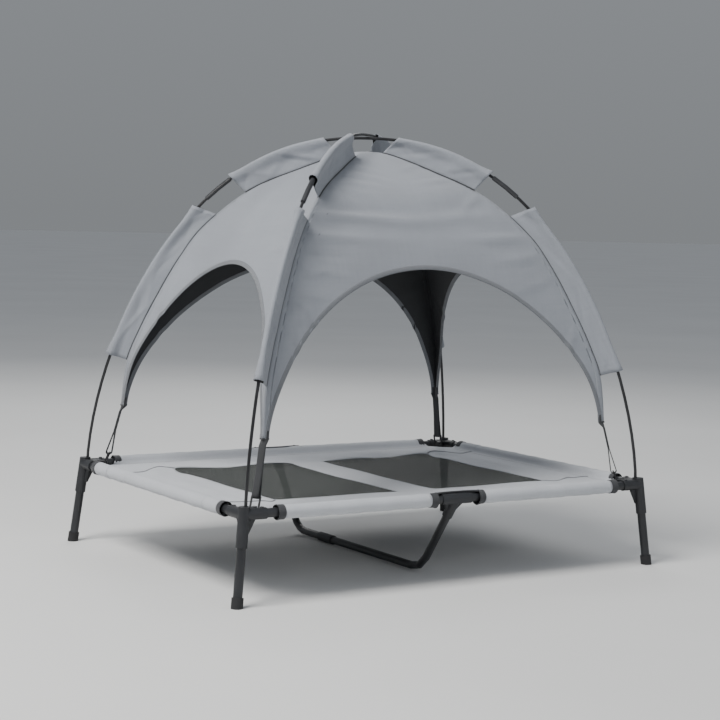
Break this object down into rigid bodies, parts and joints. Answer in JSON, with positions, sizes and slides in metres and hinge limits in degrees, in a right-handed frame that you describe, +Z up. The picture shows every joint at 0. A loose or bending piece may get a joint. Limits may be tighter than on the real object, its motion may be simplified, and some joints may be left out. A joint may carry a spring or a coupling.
{
  "type": "raised dog bed with sun canopy",
  "caption": "Raised rectangular dog bed on a splayed steel tube frame, with a sewn cover with mesh windows and a detachable arched dome canopy on crossed poles.",
  "frame": {"origin": "on the ground under the middle of the bed", "axes": "+X along the length, +Y across to the back, +Z up"},
  "size_m": [1.252, 0.942, 1.1066],
  "materials": {
    "steel_paint": "satin anthracite powder coat",
    "connector_plastic": "moulded anthracite plastic, fine grain",
    "foot_rubber": "matte black rubber",
    "fibreglass": "black fibreglass rod, faint long fibres",
    "ferrule_metal": "black coated steel",
    "hook_plastic": "black acetal",
    "canopy_fabric": "mid grey coated woven polyester, near black inside",
    "cover_fabric": "light grey woven polyester with dark bindings",
    "mesh_fabric": "dark grey open PVC-coated mesh",
    "elastic_webbing": "black woven elastic"
  },
  "bodies": {
    "frame": {"corner_connector_front_left": "connector_plastic", "corner_leg_front_left": "steel_paint", "foot_cap_front_left": "foot_rubber", "canopy_ring_front_left": "hook_plastic", "corner_connector_front_right": "connector_plastic", "corner_leg_front_right": "steel_paint", "foot_cap_front_right": "foot_rubber", "canopy_ring_front_right": "hook_plastic", "corner_connector_back_left": "connector_plastic", "corner_leg_back_left": "steel_paint", "foot_cap_back_left": "foot_rubber", "canopy_ring_back_left": "hook_plastic", "corner_connector_back_right": "connector_plastic", "corner_leg_back_right": "steel_paint", "foot_cap_back_right": "foot_rubber", "canopy_ring_back_right": "hook_plastic", "front_rail_left": "steel_paint", "front_rail_right": "steel_paint", "back_rail_left": "steel_paint", "back_rail_right": "steel_paint", "left_rail": "steel_paint", "right_rail": "steel_paint", "middle_tee_front": "connector_plastic", "middle_tee_back": "connector_plastic", "middle_leg_front": "steel_paint", "middle_leg_back": "steel_paint", "leg_joiner": "connector_plastic", "bed_cover": "cover_fabric", "mesh_window_left": "mesh_fabric", "mesh_window_right": "mesh_fabric"},
    "canopy": {"elastic_band_front_left": "elastic_webbing", "lower_pole_front_left": "fibreglass", "ferrule_front_left": "ferrule_metal", "upper_sleeve_front_left": "canopy_fabric", "lower_sleeve_front_left": "canopy_fabric", "elastic_band_front_right": "elastic_webbing", "lower_pole_front_right": "fibreglass", "ferrule_front_right": "ferrule_metal", "upper_sleeve_front_right": "canopy_fabric", "lower_sleeve_front_right": "canopy_fabric", "elastic_band_back_left": "elastic_webbing", "lower_pole_back_left": "fibreglass", "ferrule_back_left": "ferrule_metal", "upper_sleeve_back_left": "canopy_fabric", "lower_sleeve_back_left": "canopy_fabric", "elastic_band_back_right": "elastic_webbing", "lower_pole_back_right": "fibreglass", "ferrule_back_right": "ferrule_metal", "upper_sleeve_back_right": "canopy_fabric", "lower_sleeve_back_right": "canopy_fabric", "canopy_dome": "canopy_fabric", "upper_pole_over": "fibreglass", "upper_pole_under": "fibreglass"}
  },
  "joints": [
    {"name": "canopy_lift_off", "type": "slide", "parent": "frame", "child": "canopy", "axis": [0, 0, 1], "range_m": [0, 0.045], "stiffness_N_per_m": 150, "springref_m": -0.03, "deforming": ["elastic_band_front_left", "elastic_band_front_right", "elastic_band_back_left", "elastic_band_back_right"]}
  ]
}
